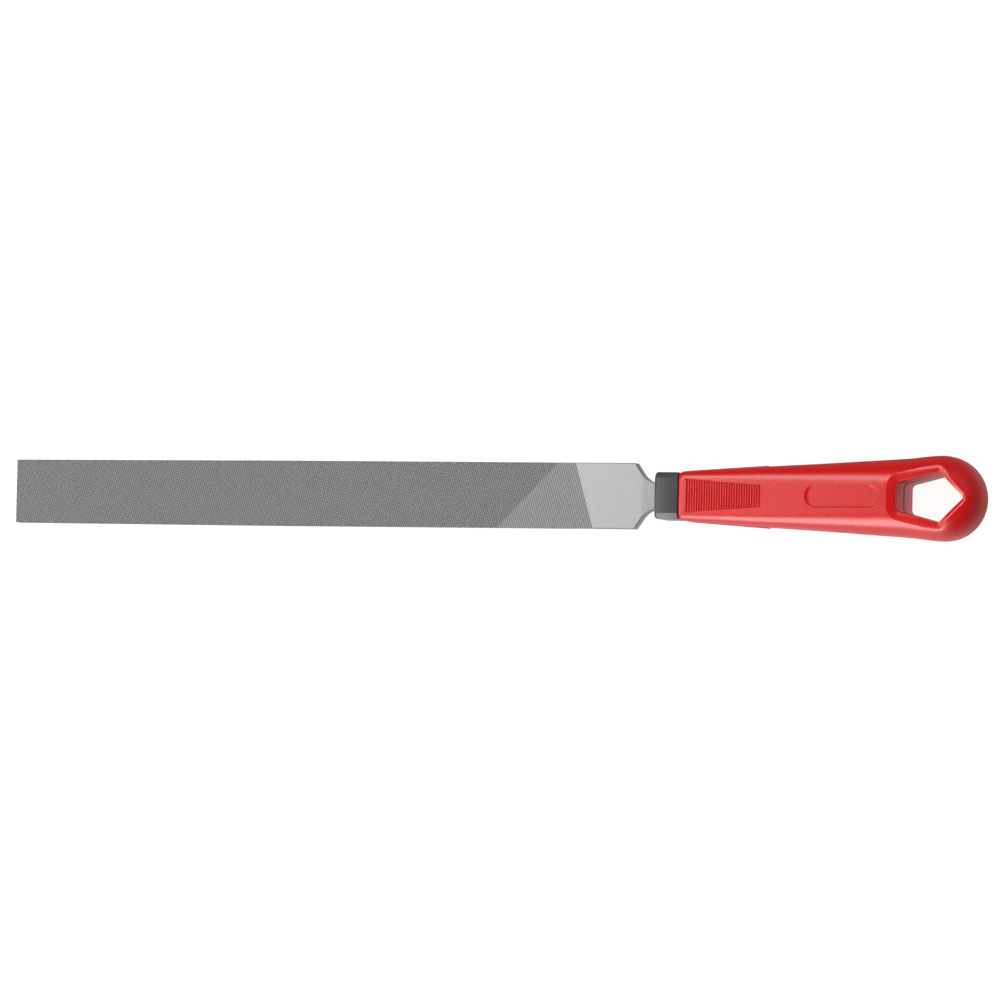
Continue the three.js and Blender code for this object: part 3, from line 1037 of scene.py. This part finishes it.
def floor_paper():
    """White paper for the camera. To every other ray it glows fully beside the file, and far less
    beyond the file's far side and its butt, so that those sides of the file stay dark."""
    material, tree, shader = new_material("floor_paper")
    shader.inputs["Base Color"].default_value = (0.12, 0.12, 0.12, 1)
    shader.inputs["Roughness"].default_value = 0.9
    shader.inputs["Emission Color"].default_value = (1, 1, 1, 1)
    place = tree.nodes.new("ShaderNodeTexCoord")
    split = tree.nodes.new("ShaderNodeSeparateXYZ")
    tree.links.new(place.outputs["Object"], split.inputs["Vector"])
    thrown = tree.nodes.new("ShaderNodeMath")
    thrown.operation = "MINIMUM"
    for i, (axis, edge) in enumerate((("X", cad_box[1].x), ("Y", cad_box[1].y))):
        fall = tree.nodes.new("ShaderNodeMapRange")
        fall.inputs["From Min"].default_value = edge - 0.01
        fall.inputs["From Max"].default_value = edge + 0.02
        fall.inputs["To Min"].default_value = 1.0
        fall.inputs["To Max"].default_value = 0.12
        tree.links.new(split.outputs[axis], fall.inputs["Value"])
        tree.links.new(fall.outputs[0], thrown.inputs[i])
    rays = tree.nodes.new("ShaderNodeLightPath")
    glow = tree.nodes.new("ShaderNodeMapRange")
    glow.inputs["To Max"].default_value = 0.95
    tree.links.new(rays.outputs["Is Camera Ray"], glow.inputs["Value"])
    tree.links.new(thrown.outputs[0], glow.inputs["To Min"])
    tree.links.new(glow.outputs[0], shader.inputs["Emission Strength"])
    return material


# ---- Pieces ----

blade = make_blade()
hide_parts("file_blade")

insert = make_insert()
insert.data.materials.append(insert_plastic())
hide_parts("tang_insert")

grip = make_grip()
grip.data.materials.append(grip_plastic())
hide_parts("grip")

for piece in (blade, insert, grip):
    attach(piece, "root")


# ---- Floor, light and camera ----


def make_floor():
    """A sheet under the file as it lies on it, FLOOR_GAP clear of the tip and of the box's lowest
    level at THICK_FROM. Nearer the ribs, about X = 102, the grip dips through it by 0.06 mm."""
    low = cad_box[0]
    tip = Vector((low[0], 0, -BLADE_HALF_THICKNESS / 1000))
    belly = Vector((to_frame((THICK_FROM, 0, 0))[0][0], 0, low[2]))
    fall = (belly.z - tip.z) / (belly.x - tip.x)
    mesh = bpy.data.meshes.new("floor")
    points = []
    for side_x, side_y in ((-1, -1), (1, -1), (1, 1), (-1, 1)):
        x = side_x * FLOOR_HALF_SIZE
        points.append((x, side_y * FLOOR_HALF_SIZE, tip.z - FLOOR_GAP + (x - tip.x) * fall))
    mesh.from_pydata(points, [], [(0, 1, 2, 3)])
    floor = bpy.data.objects.new("floor", mesh)
    bpy.context.scene.collection.objects.link(floor)
    mesh.materials.append(floor_paper())


def area_light(name, place, size, power, shine=True, fill=True, pieces=()):
    """A rectangular softbox at `place`, in metres, facing the file. Without `shine` it makes no
    reflections, and without `fill` it makes nothing else. It lights only the pieces named, or
    everything if there are none."""
    light = bpy.data.lights.new(name, "AREA")
    light.shape = "RECTANGLE"
    light.size = size[0]
    light.size_y = size[1]
    light.energy = power
    lamp = bpy.data.objects.new(name, light)
    lamp.location = place
    lamp.rotation_euler = (-Vector(place)).to_track_quat("-Z", "Y").to_euler()
    lamp.visible_glossy = shine
    lamp.visible_diffuse = fill
    if pieces:
        lit = bpy.data.collections.new(name)
        for piece in pieces:
            lit.objects.link(piece)
        lamp.light_linking.receiver_collection = lit
    bpy.context.scene.collection.objects.link(lamp)


def make_world():
    """Even, dim white light from all round."""
    world = bpy.data.worlds.new("studio")
    world.use_nodes = True
    background = world.node_tree.nodes["Background"]
    background.inputs["Color"].default_value = (1, 1, 1, 1)
    background.inputs["Strength"].default_value = 0.18
    bpy.context.scene.world = world


# The camera looks down on the file from beyond its butt side: turned by CAMERA_YAW towards +X
# and by CAMERA_PITCH towards -Y, and rolled a little.
CAMERA_YAW = math.radians(17.41)
CAMERA_PITCH = math.radians(-2.65)
CAMERA_ROLL = math.radians(-1.31)
CAMERA_DISTANCE = 3481.0
CAMERA_ASIDE = (51.9, 1.43)
CAMERA_LENS = 329.9  # for a 36 mm sensor


def make_camera():
    turn = (
        Matrix.Rotation(CAMERA_ROLL, 3, "Z")
        @ Matrix.Rotation(CAMERA_PITCH, 3, "X")
        @ Matrix.Rotation(-CAMERA_YAW, 3, "Y")
    )
    offset = Vector((*CAMERA_ASIDE, -CAMERA_DISTANCE))
    place = -(turn.transposed() @ offset)
    data = bpy.data.cameras.new("camera")
    data.sensor_width = 36
    data.lens = CAMERA_LENS
    data.clip_end = 50
    camera = bpy.data.objects.new("camera", data)
    location = Vector(to_frame(place)[0])
    camera.matrix_world = Matrix.LocRotScale(location, turn.transposed().to_quaternion(), None)
    bpy.context.scene.collection.objects.link(camera)
    bpy.context.scene.camera = camera


make_floor()
make_world()
make_camera()
# near_shine and tip_end leave the steel out, so that its teeth don't mirror them.
area_light("overhead", (-1.04, -0.15, 1.08), (1.0, 1.66), 12)
area_light("near_shine", (-0.35, -1.05, 0.62), (1.2, 0.9), 27, fill=False, pieces=(grip, insert))
area_light("near_fill", (-0.35, -1.05, 0.65), (1.2, 0.8), 14, shine=False)
area_light("butt_fill", (1.0, 0.7, 0.7), (1.2, 0.8), 9, shine=False)
area_light("far_strip", (-0.35, 0.62, 1.1), (1.2, 0.24), 9)
area_light("tip_end", (-1.3, 0.0, 0.35), (1.0, 0.65), 2.5, pieces=(grip,))
bpy.context.scene.view_settings.view_transform = "Standard"
